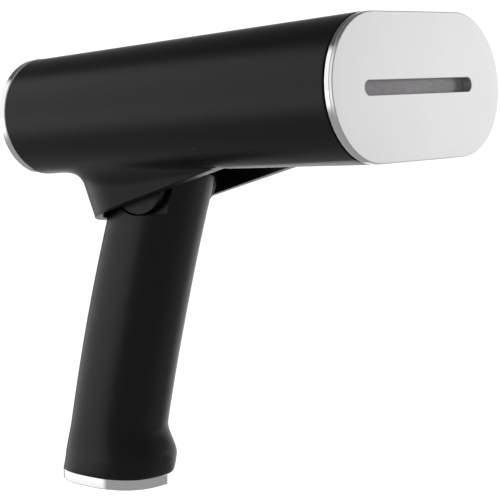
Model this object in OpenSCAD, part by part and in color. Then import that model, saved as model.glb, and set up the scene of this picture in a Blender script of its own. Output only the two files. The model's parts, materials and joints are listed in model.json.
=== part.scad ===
// Folding hand-held garment steamer: a wide tapered head with a flat steam plate, carried on a
// leaning pistol grip that folds forward under the head, out of a collar of two cheeks.
// Millimetres. +X is forward, where the steam goes, and +Z is up. The origin is the centre of the
// underside of the grip's base ring. Head parts are drawn in the head's own frame, which starts at
// the centre of the steam plate and is tilted upward by head_pitch.

/* [Head] */
// Height of the head at the steam plate
head_h = 52; // [50:0.5:56]
// Width of the head at the steam plate
head_w = 102; // [100:1:110]
// Length of the tapered housing
housing_l = 156.9; // [150:0.1:165]
// How much smaller the head's half height is at the rear
head_taper = 3.7; // [2:0.1:4.5]
// Upward tilt of the head
head_pitch = 5; // [0:0.5:8]
// Wall thickness of the housing
housing_wall = 2.2; // [1.8:0.1:2.6]

/* [Steam plate] */
// Thickness of the steam plate's face
plate_t = 1.2; // [1:0.1:1.6]
// Thickness of the bright ring behind the plate
front_ring_t = 2.1; // [1.8:0.1:2.6]
// Width of the dark gap behind the ring
front_gap = 0.6; // [0.4:0.1:1]
// Length of the steam slot
slot_l = 65.5; // [50:0.5:70]
// Height of the steam slot
slot_h = 5; // [4.6:0.1:7]

/* [Grip] */
// Front to back half size of the grip
grip_a = 19.75; // [18:0.25:21]
// Side to side half size of the grip
grip_b = 16.8; // [16:0.1:18]
// Wall thickness of the grip shells
grip_wall = 2.4; // [2:0.1:2.8]
// Height of the base ring
base_ring_h = 4.3; // [3:0.1:6]
// Radius of the cord opening in the base
cord_r = 3.4; // [2.5:0.1:4]

/* [Fold hinge] */
// Height of the hinge axis above the base
hinge_z = 124.2; // [120:0.1:128]
// Distance of the hinge axis in front of the base's centre
hinge_x = 26.3; // [25:0.1:28]
// Radius of the round hinge arms
arm_r = 13.25; // [12:0.05:14]
// Radius of the hinge pin
pin_r = 4; // [3:0.5:5]

/* [Controls] */
// Length of the steam button along the grip
button_l = 22; // [18:1:26]
// Width of the steam button
button_w = 12; // [10:1:13]
// Travel of the steam button
button_travel = 1.5; // [1:0.1:1.8]
// Radius of the power button
power_r = 6.2; // [5:0.1:6.2]

/* [Hidden] */
$fn = 64;
eps = 0.01;
gap = 0.35;            // clearance between parts that move past each other

// Head frame: x runs forward from the plate, so everything in the head has a negative x.
flat_half = (head_w - head_h) / 2;
plate_r = head_h / 2;
shell_r = plate_r + 0.2;
x_ring = -plate_t - front_ring_t;
x_front = x_ring - front_gap;
x_rear = x_front - housing_l;
hinge_back = 123.6;
hinge_drop = 27.4;
head_x = hinge_x + hinge_back * cos(head_pitch) - hinge_drop * sin(head_pitch);
head_z = hinge_z + hinge_back * sin(head_pitch) + hinge_drop * cos(head_pitch);

// Fold well under the head
well_y = 23.3;
well_wall = 2;
well_rear = -hinge_back - arm_r - 1;
well_front = -67;
well_roof = -6.4;
roof_t = 1.6;

// Collar around the top of the grip: a cheek on each side and a round back, cut off below by one
// slope that rises to the cheeks' tips
cheek_t = 3.6;
cheek_flare = 0.25;
cheek_low = [-135.5, -39.1];
cheek_tip = [-69.9, -23.9];
cheek_slope = (cheek_tip[1] - cheek_low[1]) / (cheek_tip[0] - cheek_low[0]);
collar_x = -126.1;
collar_back = -159;
collar_overlap = 4;
collar_gap = 0.3;      // holds the round back just inside the cheeks' faces
collar_root = -20.5;

// Hinge
pocket_y = 12;         // half width of the grip between the arms
arm_y = pocket_y + 0.3;
arm_t = 3.9;
pocket_r = arm_r + gap;
bush_t = 0.25;
foot_t = 3;
foot_y = well_y - 1;
arm_screw_x = 8;
arm_screw_y = 19.3;
hub_r = 8.6;
duct_y = 4;
duct_x = 7;
detent_at = [0, -8.6];
detent_r = 1.5;

// Grip outline
axis_foot = -3.36;
axis_lean = 0.1684;
axis_bend = 0.0006;
toe_full = 10.6;
toe_top = 24.6;
toe_a = 3.25;
toe_b = 2.1;
toe_shift = 3.2;
foot_round = 4.2;
base_a = 22.9;
base_b = 18.7;
cap_low = 0.8;
cap_step = 3.8;
cap_top = 8;
gland_r = 6;
gland_top = 14.8;
base_screw_y = 10.5;
grip_top = hinge_z + 2.8;
grip_round = 3.5;
cavity_top = 106;
half_points = 14;
oval_points = 72;
squareness = 2.5;

// Steam button, in a frame on the back of the grip with z pointing out of it
button_z = 89;
button_lean = atan(axis_lean + 2 * axis_bend * button_z);
button_x = axis_x(button_z) - grip_a;
button_proud = 0.6;
button_flange_z = -4.2;
flange_t = 1.2;
flange_low = button_flange_z - flange_t;
stem_end = -7.8;
switch_top = stem_end - button_travel - 0.3;

// Rear controls
control_y = 22;
control_z = 8;
cover_t = 2.4;
rear_ring_t = 3.2;
x_cover = x_rear - rear_ring_t + 0.4;
rear_r = shell_r - head_taper;
neck_r = 7.5;
door_r = 10.4;
door_t = 1.3;
door_axis = [x_cover + 1.3, control_z - door_r - 2];
barrel_r = 1.2;
barrel_half = 3.2;

// Front stack: the positions of the layers behind the plate
skirt_r = 22;
skirt_t = 1.4;
x_skirt = -6;
x_block = -7.2;
block_l = 12.8;
block_r = 19;
x_block_rear = x_block - block_l;
boss_at = [36, 12];
element_r = 3.2;
element_z = 9;
element_y = 22;
frame_r = 23.2;
x_frame_rear = -28;
x_shield = -30;

// Middle of the head
chassis_top = -10.6;
chassis_t = 2;
chassis_y = 38;
chassis_rear = -64;
board_z = 13;
board_t = 1.6;
post_x = [-58, -37];
post_y = 33;
water_y = -14;
tube_r = 3.2;
barb_r = 2;
pump_rear = -64;
pump_front = -44;

// Tank
tank_gap = 0.6;
tank_wall = 1.5;
tank_floor = -3.5;
tank_front = -80;
tank_rear = -148;
x_board = tank_rear - 4;
power_back = x_cover + cover_t + 2.6;
power_stem = x_board - 1.8 - 1.2 - x_cover - cover_t;

function smooth(t) = let (u = max(0, min(1, t))) u * u * (3 - 2 * u);
function axis_x(z) = axis_foot + axis_lean * z + axis_bend * z * z;
function cheek_z(x) = cheek_tip[1] + cheek_slope * (x - cheek_tip[0]);
function collar_r(z) = well_y + cheek_t + cheek_flare * (z - cheek_low[1]);
function body_r(x) = shell_r - head_taper * (x_front - x) / housing_l;
function signed_pow(v, n) = sign(v) * pow(abs(v), n);
function oval(a, b) = [
    for (i = [0 : oval_points - 1])
        let (t = 360 * i / oval_points)
        [a * signed_pow(cos(t), 2 / squareness), b * signed_pow(sin(t), 2 / squareness)]
];

// Grip section at height z: [centre, half length, half width], with a toe at the front of the foot
function foot_edge(z) =
    let (t = max(0, min(1, (base_ring_h + foot_round - z) / foot_round))) 1 - sqrt(1 - t * t);
function grip_section(z) =
    let (toe = smooth((toe_top - z) / (toe_top - toe_full)), e = foot_edge(z))
    [
        (axis_x(z) + toe_shift * toe) * (1 - e),
        (grip_a + toe_a * toe) * (1 - e) + base_a * e,
        (grip_b + toe_b * toe) * (1 - e) + base_b * e
    ];
// Left half of that section. Its flat side lies on y = -cross.
function half_oval(a, b, cross) = concat(
    [
        for (i = [0 : half_points])
            let (t = 180 * i / half_points)
            [a * signed_pow(cos(t), 2 / squareness), b * signed_pow(sin(t), 2 / squareness)]
    ],
    cross > 0 ? [[-a, -cross], [a, -cross]] : []
);
// A ring of the grip, tilted towards the top so that it ends parallel to the head
function grip_ring(z, inset, cross = 0) =
    let (
        s = grip_section(z),
        slope = tan(head_pitch) * smooth((z - 60) / 55)
    )
    [for (p = half_oval(s[1] - inset, s[2] - inset, cross)) [s[0] + p[0], p[1], z + p[0] * slope]];

// Solid through a list of equal rings
module loft(rings) {
    n = len(rings[0]);
    m = len(rings);
    points = [for (ring = rings) each ring];
    sides = [
        for (k = [0 : m - 2], i = [0 : n - 1])
            let (j = (i + 1) % n, a = k * n + i, b = k * n + j)
            each [[a, a + n, b], [b, a + n, b + n]]
    ];
    bottom = [[for (i = [0 : n - 1]) i]];
    top = [[for (i = [n - 1 : -1 : 0]) (m - 1) * n + i]];
    polyhedron(points = points, faces = concat(sides, bottom, top), convexity = 8);
}

module head_frame() {
    translate([head_x, 0, head_z]) rotate([0, -head_pitch, 0]) children();
}

module hinge_frame() {
    head_frame() translate([-hinge_back, 0, -hinge_drop]) children();
}

module button_frame() {
    translate([button_x, 0, button_z]) rotate([0, button_lean - 90, 0]) children();
}

// Rod along X, Y or Z from a start point
module rod_x(at, l, r, r2 = undef) {
    translate(at) rotate([0, 90, 0]) cylinder(h = l, r1 = r, r2 = is_undef(r2) ? r : r2);
}

module rod_y(at, l, r) {
    translate(at) rotate([-90, 0, 0]) cylinder(h = l, r = r);
}

module rod_z(at, l, r) {
    translate(at) cylinder(h = l, r = r);
}

module block(low, high) {
    translate(low) cube(high - low);
}

module both_sides() {
    children();
    mirror([0, 1, 0]) children();
}

module obround(r, half) {
    square([2 * half, 2 * r], center = true);
    for (side = [-1, 1]) translate([side * half, 0]) circle(r);
}

module obround_slab(back, front, r, half = flat_half) {
    translate([back, 0, 0]) rotate([90, 0, 90]) linear_extrude(front - back) obround(r, half);
}

module obround_ring(back, front, r_out, r_in, half = flat_half) {
    difference() {
        obround_slab(back, front, r_out, half);
        obround_slab(back - 1, front + 1, r_in, half);
    }
}

// The head's tapered solid between two stations, made smaller all round by inset
module tapered_slab(back, front, inset = 0) {
    r_back = body_r(back) - inset;
    r_front = body_r(front) - inset;
    for (side = [-1, 1])
        rod_x([back, side * flat_half, 0], front - back, r_back, r_front);
    rotate([90, 0, 0]) translate([0, 0, -flat_half]) linear_extrude(2 * flat_half)
        polygon([[back, -r_back], [back, r_back], [front, r_front], [front, -r_front]]);
}

// Round compression spring along Z
module spring(l, r, wire, turns) {
    sides = 8;
    per_turn = 14;
    steps = turns * per_turn;
    pitch = (l - 2 * wire) / turns;
    loft([
        for (k = [0 : steps])
            let (t = 360 * k / per_turn, z = wire + pitch * k / per_turn)
            [
                for (i = [0 : sides - 1])
                    let (a = -360 * i / sides, q = r + wire * cos(a))
                    [q * cos(t), q * sin(t), z + wire * sin(a)]
            ]
    ]);
}

module screw(l, r, head_r, head_l) {
    cylinder(h = l + eps, r = r);
    translate([0, 0, l]) difference() {
        cylinder(h = head_l, r = head_r);
        translate([0, 0, head_l / 2]) cylinder(h = head_l, r = head_r / 2, $fn = 6);
    }
}

// ---- Grip ----

module grip_solid() {
    levels = [base_ring_h, 5, 6, 7.2, 8.5, 11, 14, 17, 20, 23, 26, 44, 58, 72, 86, 100, 112];
    loft(concat(
        [for (z = levels) grip_ring(z, 0)],
        [
            for (k = [0 : 4])
                let (t = 80 * k / 4)
                grip_ring(grip_top - grip_round * (1 - sin(t)), grip_round * (1 - cos(t)))
        ]
    ));
}

module grip_cavity() {
    levels = [base_ring_h - 1, base_ring_h + 1, 6, 8.5, 11, 15, 20, 26, 53, 78, cavity_top];
    difference() {
        loft([for (z = levels) grip_ring(z, grip_wall, 1)]);
        rod_z([0, base_screw_y, cap_top + 1], 9, 3.2);
        block([-1, base_screw_y, cap_top + 1], [1, 40, cap_top + 10]);
    }
}

// Room in the grip's side for a hinge arm: round behind, open above and in front
module arm_pocket() {
    far = 60;
    hinge_frame() translate([0, pocket_y + far, 0]) rotate([90, 0, 0]) linear_extrude(far) {
        circle(pocket_r);
        translate([-pocket_r, 0]) square(far);
        translate([0, -pocket_r]) square(far);
    }
}

module grip_shell() {
    difference() {
        union() {
            grip_solid();
            hinge_frame() rod_y([0, 0, 0], pocket_y, hub_r);
        }
        grip_cavity();
        arm_pocket();
        hinge_frame() {
            block([-duct_x, -1, cavity_top - hinge_z - 4], [duct_x, duct_y, hub_r + 1]);
            rod_y([0, -1, 0], 40, pin_r + 0.9);
            rod_y([detent_at[0], pocket_y - 5, detent_at[1]], 40, detent_r + 0.1);
        }
        rod_z([0, base_screw_y, 0], 16, 1.25);
        button_frame() obround_z(-12, 8, button_w / 2 + 0.3, (button_l - button_w) / 2);
    }
}

module obround_z(low, high, r, half) {
    translate([0, 0, low]) linear_extrude(high - low) obround(r, half);
}

module handle_shell_left() {
    color("#262629") grip_shell();
}

module handle_shell_right() {
    color("#262629") mirror([0, 1, 0]) grip_shell();
}

module base_ring() {
    color("#d9dadc") difference() {
        linear_extrude(base_ring_h) polygon(oval(base_a, base_b));
        translate([0, 0, -1]) linear_extrude(base_ring_h + 2)
            polygon(oval(base_a - 2.2, base_b - 2.2));
    }
}

module base_cap() {
    color("#1d1d1f") difference() {
        union() {
            translate([0, 0, cap_low]) linear_extrude(cap_step - cap_low)
                polygon(oval(base_a - 2.3, base_b - 2.3));
            translate([0, 0, cap_step]) linear_extrude(cap_top - cap_step)
                polygon(oval(base_a - grip_wall - 2.2, base_b - grip_wall - 0.4));
        }
        translate([0, 0, cap_step]) linear_extrude(10)
            polygon(oval(base_a - grip_wall - 3.8, base_b - grip_wall - 2));
        rod_z([0, 0, -1], 20, gland_r + 0.02);
        both_sides() {
            rod_z([0, base_screw_y, -1], 20, 1.7);
            rod_z([0, base_screw_y, -1], 3.2, 2.8);
        }
    }
}

module cord_gland() {
    color("#141415") difference() {
        union() {
            rod_z([0, 0, 0], gland_top, gland_r);
            rod_z([0, 0, cap_step + eps], 1.6, gland_r + 1.7);
        }
        rod_z([0, 0, -1], 20, cord_r);
    }
}

module base_screws() {
    color("#8c8d90") both_sides() translate([0, base_screw_y, 15.2]) mirror([0, 0, 1])
        screw(13, 1.25, 2.6, 1.2);
}

module terminal_block() {
    low = 34;
    high = 44;
    color("#e8e6df") difference() {
        block([-9, -8, low], [9, 8, high]);
        for (x = [-5, 5]) {
            rod_z([x, 0, low - 1], high - low + 2, 1.8);
            rod_y([x, -9, (low + high) / 2], 6, 1.5);
        }
    }
}

module steam_button() {
    half = (button_l - button_w) / 2;
    color("#1b1b1d") button_frame() difference() {
        union() {
            obround_z(flange_low, button_proud, button_w / 2, half);
            obround_z(flange_low, button_flange_z, button_w / 2 + 1, half);
            rod_z([0, 0, stem_end], 4, 1.8);
        }
        for (x = [-6, 0, 6]) translate([x, 0, button_proud - 0.3]) cube([1, 7, 2], center = true);
    }
}

module steam_button_spring() {
    color("#b9bbbf") button_frame()
        translate([0, 0, switch_top])
        spring(flange_low - switch_top, 2.8, 0.3, 3);
}

module steam_switch() {
    low = switch_top - 6.5;
    color("#30343a") button_frame() {
        block([-6.4, -3, low], [6.4, 3, switch_top]);
        rod_z([0, 0, switch_top - eps], 0.25, 1.2);
        for (x = [-5, 0, 5]) block([x - 0.4, -1.6, low - 2.5], [x + 0.4, 1.6, low + eps]);
    }
}

module switch_bracket() {
    color("#3c3c40") button_frame() difference() {
        block([-9, -12.4, switch_top - 7], [9, 12.4, switch_top - 1.5]);
        block([-6.5, -3.1, switch_top - 8], [6.5, 3.1, switch_top]);
        block([-11, -11, switch_top - 5], [11, -4.6, switch_top]);
        block([-11, 4.6, switch_top - 5], [11, 11, switch_top]);
    }
}

// ---- Fold hinge ----

module hinge_bushes() {
    color("#c9a45c") hinge_frame() both_sides() difference() {
        union() {
            rod_y([0, duct_y, 0], pocket_y - duct_y, pin_r + 0.9);
            rod_y([0, pocket_y, 0], bush_t, pin_r + 2.4);
        }
        rod_y([0, 0, 0], 40, pin_r + 0.05);
    }
}

module detent_balls() {
    color("#c4c6c9") hinge_frame() both_sides()
        translate([detent_at[0], pocket_y - 1.3, detent_at[1]]) sphere(detent_r);
}

module detent_springs() {
    color("#b9bbbf") hinge_frame() both_sides()
        translate([detent_at[0], pocket_y - 4.9, detent_at[1]]) rotate([-90, 0, 0])
        spring(2.0, 1.1, 0.2, 2);
}

module hinge_pin() {
    color("#b5b7ba") hinge_frame() difference() {
        rod_y([0, -arm_y - arm_t, 0], 2 * (arm_y + arm_t), pin_r);
        rod_y([0, -30, 0], 60, pin_r - 1.4);
    }
}

module hinge_arm() {
    top = well_roof + hinge_drop;
    difference() {
        union() {
            rod_y([0, arm_y, 0], arm_t, arm_r);
            block([-arm_r, arm_y, 0], [arm_r, arm_y + arm_t, top]);
            block([-arm_r, arm_y, top - foot_t], [arm_r, foot_y, top]);
        }
        rod_y([0, 0, 0], 40, pin_r);
        for (x = [-1, 1]) rod_z([x * arm_screw_x, arm_screw_y, top - 10], 20, 1.6);
    }
}

module hinge_arm_left() {
    color("#232326") hinge_frame() hinge_arm();
}

module hinge_arm_right() {
    color("#232326") hinge_frame() mirror([0, 1, 0]) hinge_arm();
}

module arm_screws() {
    top = well_roof + hinge_drop;
    color("#8c8d90") hinge_frame() both_sides() for (x = [-1, 1])
        translate([x * arm_screw_x, arm_screw_y, top + roof_t - 0.2]) mirror([0, 0, 1])
        screw(foot_t + roof_t - 0.2, 1.5, 2.6, 1.6);
}

// ---- Housing ----

// Everything above the collar's sloping lower edge, between two x values
// One side of the collar: its outer face leans out towards the top
module cheek() {
    difference() {
        block([collar_x, well_y, -60], [cheek_tip[0], well_y + 12, collar_root + 1]);
        translate([0, well_y + cheek_t, cheek_low[1]]) rotate([-atan(cheek_flare), 0, 0])
            translate([-200, 0, -40]) cube([200, 60, 120]);
    }
}

// The collar's round back, which the grip leans on in use
module collar_rear() {
    low = cheek_z(collar_back);
    high = collar_root + 1;
    intersection() {
        translate([collar_x, 0, low]) difference() {
            cylinder(h = high - low, r1 = collar_r(low) - collar_gap / 3, r2 = collar_r(high) - collar_gap / 3);
            rod_z([0, 0, -1], high - low + 2, well_y - collar_gap);
        }
        block([collar_back, -60, low - 1], [collar_x + collar_overlap, 60, high + 1]);
    }
}

// The cheeks and the back under one sloping cut
module collar() {
    intersection() {
        union() {
            both_sides() cheek();
            collar_rear();
        }
        translate([0, 60, 0]) rotate([90, 0, 0]) linear_extrude(120) polygon([
            [collar_back, cheek_z(collar_back)],
            [collar_back, collar_root],
            [cheek_tip[0], collar_root],
            cheek_tip
        ]);
    }
}

module body_housing() {
    color("#262629") head_frame() difference() {
        union() {
            difference() {
                tapered_slab(x_rear, x_front);
                tapered_slab(x_rear - 1, x_front + 1, housing_wall);
            }
            intersection() {
                tapered_slab(x_rear, x_front, 0.8);
                block([well_rear - well_wall, -well_y - well_wall, -60],
                      [well_front + well_wall, well_y + well_wall, well_roof + roof_t]);
            }
            collar();
            intersection() {
                tapered_slab(x_rear, x_front, 0.8);
                both_sides() block([chassis_rear, chassis_y - 2, chassis_top - chassis_t - 1.6],
                                   [x_shield - 1, 60, chassis_top - chassis_t]);
            }
        }
        block([well_rear, -well_y, -80], [well_front, well_y, well_roof]);
        both_sides() for (x = [-1, 1])
            rod_z([x * arm_screw_x - hinge_back, arm_screw_y, well_roof - 6], 10, 1.5);
    }
}

// ---- Front ----

module front_trim_ring() {
    color("#dfe0e2") head_frame() obround_ring(x_ring, -plate_t, plate_r + 0.1, skirt_r + 0.2);
}

module steam_plate() {
    color("#d3d4d6") head_frame() difference() {
        union() {
            obround_slab(-plate_t, 0, plate_r);
            obround_ring(x_skirt, -plate_t + eps, skirt_r, skirt_r - skirt_t);
            for (y = [-1, 1], z = [-1, 1])
                rod_x([x_skirt, y * boss_at[0], z * boss_at[1]], -x_skirt - plate_t + eps, 3);
        }
        obround_slab(-plate_t - 1, 1, slot_h / 2, (slot_l - slot_h) / 2);
        for (y = [-1, 1], z = [-1, 1])
            rod_x([x_skirt - 1, y * boss_at[0], z * boss_at[1]], 4.5, 1.25);
    }
}

module front_frame() {
    color("#17171a") head_frame() {
        obround_ring(x_front, x_ring, shell_r - 1, skirt_r + 0.3);
        obround_ring(x_frame_rear, x_front + eps, frame_r, skirt_r + 0.3);
    }
}

module diffuser_plate() {
    half_y = 37.5;
    half_z = 7.5;
    color("#8f8d92") head_frame() {
        block([-4.4, -half_y, -half_z], [-3.6, half_y, half_z]);
        for (z = [-half_z, half_z - 0.8])
            block([x_skirt, -half_y, z], [-4.4 + eps, half_y, z + 0.8]);
    }
}

module plate_gasket() {
    color("#9c3b30") head_frame() obround_ring(x_block, x_skirt, skirt_r, skirt_r - skirt_t);
}

module chamber_cover() {
    color("#b3b5b8") head_frame() difference() {
        obround_slab(x_block, x_skirt, block_r);
        for (y = [-1, 1], z = [-1, 1])
            rod_x([x_block - 1, y * boss_at[0], z * boss_at[1]], 5, 1.7);
        for (y = [-24 : 8 : 24], z = [-11.5, 11.5]) rod_x([x_block - 1, y, z], 5, 1);
    }
}

module element_path(r, back) {
    translate([x_block_rear, 0, 0]) {
        for (z = [-element_z, element_z])
            rod_y([0, -element_y - 4, z], 2 * element_y + 4, r);
        translate([0, element_y, 0]) rotate([0, 90, 0]) rotate_extrude(angle = 180)
            translate([element_z, 0]) circle(r);
        for (z = [-element_z, element_z])
            rod_x([-back, -element_y - 4, z], back, r * 0.8);
    }
}

module heater_block() {
    ribs = [for (y = [-24 : 12 : 24]) y];
    color("#a5a7aa") head_frame() difference() {
        obround_slab(x_block_rear, x_block, block_r);
        difference() {
            obround_slab(x_block - 6, x_block + 1, 15, 12);
            for (i = [0 : len(ribs) - 1])
                block([x_block - 7, ribs[i] - 1.2, i % 2 ? -20 : -10],
                      [x_block + 2, ribs[i] + 1.2, i % 2 ? 10 : 20]);
        }
        element_path(element_r + 0.05, 10);
        for (y = [-1, 1], z = [-1, 1])
            rod_x([x_block_rear - 1, y * boss_at[0], z * boss_at[1]], block_l + 2, 1.6);
        rod_x([x_block_rear - 1, water_y, 0], block_l, 2.25);
    }
}

module heating_element() {
    color("#6f7073") head_frame() element_path(element_r, 8);
}

module heater_screws() {
    l = x_skirt + 3 - x_block_rear;
    color("#8c8d90") head_frame() for (y = [-1, 1], z = [-1, 1])
        translate([x_skirt + 3, y * boss_at[0], z * boss_at[1]]) rotate([0, -90, 0])
        screw(l, 1.25, 2.4, 2);
}

module water_inlet() {
    color("#c9a45c") head_frame() difference() {
        union() {
            rod_x([x_block_rear - 1, water_y, 0], 7, 2.2);
            rod_x([x_block_rear - 2, water_y, 0], 2, 3.4);
            rod_x([x_block_rear - 9, water_y, 0], 9, barb_r);
        }
        rod_x([x_block_rear - 10, water_y, 0], 20, 1.1);
    }
}

module thermostat() {
    color("#d8cfb8") head_frame() {
        rod_x([x_block_rear - 4.5, 6, 0], 4.5, 5.6);
        rod_x([x_block_rear - 6.5, 6, 0], 2 + eps, 4);
        for (y = [3.4, 8]) block([x_block_rear - 9, y, -1.5], [x_block_rear - 6.4, y + 0.6, 1.5]);
    }
}

module thermal_fuse() {
    color("#c8c9cb") head_frame() {
        rod_y([x_block_rear - 1.8, 8, 15.2], 12, 1.7);
        rod_y([x_block_rear - 1.8, 2, 15.2], 24, 0.5);
    }
}

module heat_shield() {
    color("#cfcabb") head_frame() difference() {
        obround_slab(x_shield, x_frame_rear, frame_r);
        rod_x([x_shield - 1, water_y, 0], 5, tube_r + 0.3);
        for (z = [-element_z, element_z])
            rod_x([x_shield - 1, -element_y - 4, z], 5, element_r);
        obround_slab(x_shield - 1, x_frame_rear + 1, 3, 8);
    }
}

// ---- Middle ----

module chassis() {
    color("#4a4b50") head_frame() difference() {
        union() {
            block([chassis_rear, -chassis_y, chassis_top - chassis_t],
                  [x_shield - 0.2, chassis_y, chassis_top]);
            for (x = post_x, y = [-post_y, post_y])
                rod_z([x, y, chassis_top - eps], board_z - chassis_top + eps, 3);
        }
        for (x = post_x, y = [-post_y, post_y]) rod_z([x, y, board_z - 9], 20, 1.1);
    }
}

module pump() {
    color("#3a5f8a") head_frame() difference() {
        union() {
            block([pump_rear, water_y - 12, -9.6], [pump_front, water_y + 12, 10]);
            rod_x([pump_rear - 4, water_y, 0], pump_front - pump_rear + 6, 4.4);
            rod_x([pump_rear - 9, water_y, 0], pump_front - pump_rear + 17, barb_r);
        }
        rod_x([pump_rear - 20, water_y, 0], 60, 0.9);
    }
}

module pump_pad() {
    color("#202022") head_frame()
        block([pump_rear, water_y - 12, chassis_top], [pump_front, water_y + 12, -9.6]);
}

module tube(back, front) {
    difference() {
        rod_x([back, water_y, 0], front - back, tube_r);
        rod_x([back - 1, water_y, 0], front - back + 2, barb_r);
    }
}

module feed_tube() {
    color("#e9e9e4") head_frame() tube(pump_front + 2, x_block_rear - 2);
}

module suction_tube() {
    color("#e9e9e4") head_frame() tube(tank_front, pump_rear - 4);
}

module control_board() {
    color("#2f6b3a") head_frame() difference() {
        union() {
            block([chassis_rear + 1, -chassis_y, board_z], [-33, chassis_y, board_z + board_t]);
            block([-58, 4, board_z], [-44, 20, board_z + 6]);
            rod_z([-50, -12, board_z], 7.4, 5);
            for (y = [-26, 26]) block([-44, y - 4, board_z], [-36, y + 4, board_z + 5]);
        }
        for (x = post_x, y = [-post_y, post_y]) rod_z([x, y, board_z - 1], 5, 1.5);
    }
}

module board_screws() {
    color("#8c8d90") head_frame() for (x = post_x, y = [-post_y, post_y])
        translate([x, y, board_z - 6]) screw(6 + board_t, 1.1, 2.1, 1.4);
}

module water_tank() {
    color("#b8c7d6", 0.7) head_frame() difference() {
        union() {
            intersection() {
                tapered_slab(tank_rear, tank_front, housing_wall + tank_gap);
                block([tank_rear, -60, tank_floor], [tank_front, 60, 40]);
            }
            rod_x([x_cover + cover_t + 0.1, control_y, control_z],
                  tank_rear - x_cover - cover_t, neck_r + 1.4);
            rod_x([tank_front - 1, water_y, 0], 6, barb_r);
            for (y = [-34, -10]) rod_x([tank_rear - 2.4, y, control_z], 3, 2.2);
        }
        intersection() {
            tapered_slab(tank_rear + tank_wall, tank_front - tank_wall,
                         housing_wall + tank_gap + tank_wall);
            block([tank_rear, -60, tank_floor + tank_wall], [tank_front, 60, 40]);
        }
        rod_x([x_cover, control_y, control_z], tank_rear + 3 - x_cover, neck_r);
        rod_x([tank_front - 4, water_y, 0], 12, 1.1);
    }
}

// ---- Rear ----

module rear_trim_ring() {
    color("#dfe0e2") head_frame() {
        obround_ring(x_rear - rear_ring_t, x_rear, rear_r + 0.2, rear_r - 1.9);
        obround_ring(x_cover + cover_t, x_rear, rear_r - 1, rear_r - 3.9);
        obround_ring(x_rear - eps, x_rear + 4.8, rear_r - 2.4, rear_r - 3.9);
    }
}

module rear_cover() {
    color("#202023") head_frame() difference() {
        obround_slab(x_cover, x_cover + cover_t, rear_r - 2);
        rod_x([x_cover - 1, control_y, control_z], 1 + door_t + 0.3, door_r + gap);
        rod_x([x_cover - 1, control_y, control_z], 5, neck_r);
        rod_x([x_cover - 1, -control_y, control_z], 5, power_r + 2.5);
        block([x_cover - 1, control_y - barrel_half - gap, door_axis[1] - 2.2],
              [x_cover + cover_t + 1, control_y + barrel_half + gap, control_z - door_r + 2]);
        rod_y([door_axis[0], control_y - 6, door_axis[1]], 12, 0.55);
    }
}

module filler_door() {
    color("#202023") head_frame() difference() {
        union() {
            rod_x([x_cover, control_y, control_z], door_t, door_r);
            block([x_cover, control_y - barrel_half, door_axis[1]],
                  [x_cover + door_t, control_y + barrel_half, control_z - door_r + 2]);
            rod_y([door_axis[0], control_y - barrel_half, door_axis[1]],
                  2 * barrel_half, barrel_r);
        }
        rod_y([door_axis[0], control_y - 10, door_axis[1]], 20, 0.6);
        translate([x_cover, control_y, control_z + door_r + 1]) sphere(3);
    }
}

module filler_seal() {
    color("#5b5c60") head_frame()
        rod_x([x_cover + door_t, control_y, control_z], 4.4, neck_r - 0.5, neck_r - 1.1);
}

module filler_pin() {
    color("#b5b7ba") head_frame() rod_y([door_axis[0], control_y - 6, door_axis[1]], 12, 0.55);
}

module light_ring() {
    color("#e6f0f5") head_frame() difference() {
        union() {
            rod_x([x_cover, -control_y, control_z], cover_t, power_r + 2.5);
            rod_x([x_cover + cover_t, -control_y, control_z], 1, power_r + 3.6);
        }
        rod_x([x_cover - 1, -control_y, control_z], 10, power_r + gap);
    }
}

module power_button() {
    color("#1b1b1d") head_frame() difference() {
        union() {
            rod_x([x_cover - 0.4, -control_y, control_z], power_back - x_cover + 0.4, power_r);
            rod_x([x_cover + cover_t, -control_y, control_z], power_stem, 2.2);
            rod_x([x_cover + cover_t + 1.2, -control_y, control_z], 0.8, power_r + 1.2);
        }
        translate([x_cover - 11, -control_y, control_z]) sphere(11.2);
    }
}

module power_spring() {
    color("#b9bbbf") head_frame()
        translate([power_back, -control_y, control_z]) rotate([0, 90, 0])
        spring(x_board - power_back, 3.6, 0.3, 3);
}

module rear_board() {
    color("#2f6b3a") head_frame() {
        difference() {
            block([x_board, -36, 0], [x_board + board_t, -8, 16]);
            for (y = [-34, -10]) rod_x([x_board - 1, y, control_z], 5, 1.2);
        }
        rod_x([x_board - 1.8, -control_y, control_z], 1.8 + eps, 1.8);
        for (a = [45 : 90 : 315])
            rod_x([x_board - 1, -control_y + 8 * cos(a), control_z + 8 * sin(a)], 1 + eps, 0.9);
    }
}

handle_shell_left();
handle_shell_right();
base_ring();
base_cap();
cord_gland();
base_screws();
terminal_block();
steam_button();
steam_button_spring();
steam_switch();
switch_bracket();
hinge_bushes();
detent_balls();
detent_springs();
hinge_pin();
hinge_arm_left();
hinge_arm_right();
arm_screws();
body_housing();
front_trim_ring();
steam_plate();
front_frame();
diffuser_plate();
plate_gasket();
chamber_cover();
heater_block();
heating_element();
heater_screws();
water_inlet();
thermostat();
thermal_fuse();
heat_shield();
chassis();
pump();
pump_pad();
feed_tube();
suction_tube();
control_board();
board_screws();
water_tank();
rear_trim_ring();
rear_cover();
power_button();
power_spring();
light_ring();
rear_board();
filler_door();
filler_seal();
filler_pin();
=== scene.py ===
"""The looks of a hand-held garment steamer whose grip folds forward under its head.

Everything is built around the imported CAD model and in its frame: +X forward, +Z up, origin in the
middle of the base ring's underside. Shapes are worked out in millimetres and become metres in make().
Head parts are drawn in the head's own frame, which starts at the centre of the steam plate's face.
"""

import json
import math

import bmesh
import bpy
import numpy as np
from mathutils import Matrix, Vector


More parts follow.
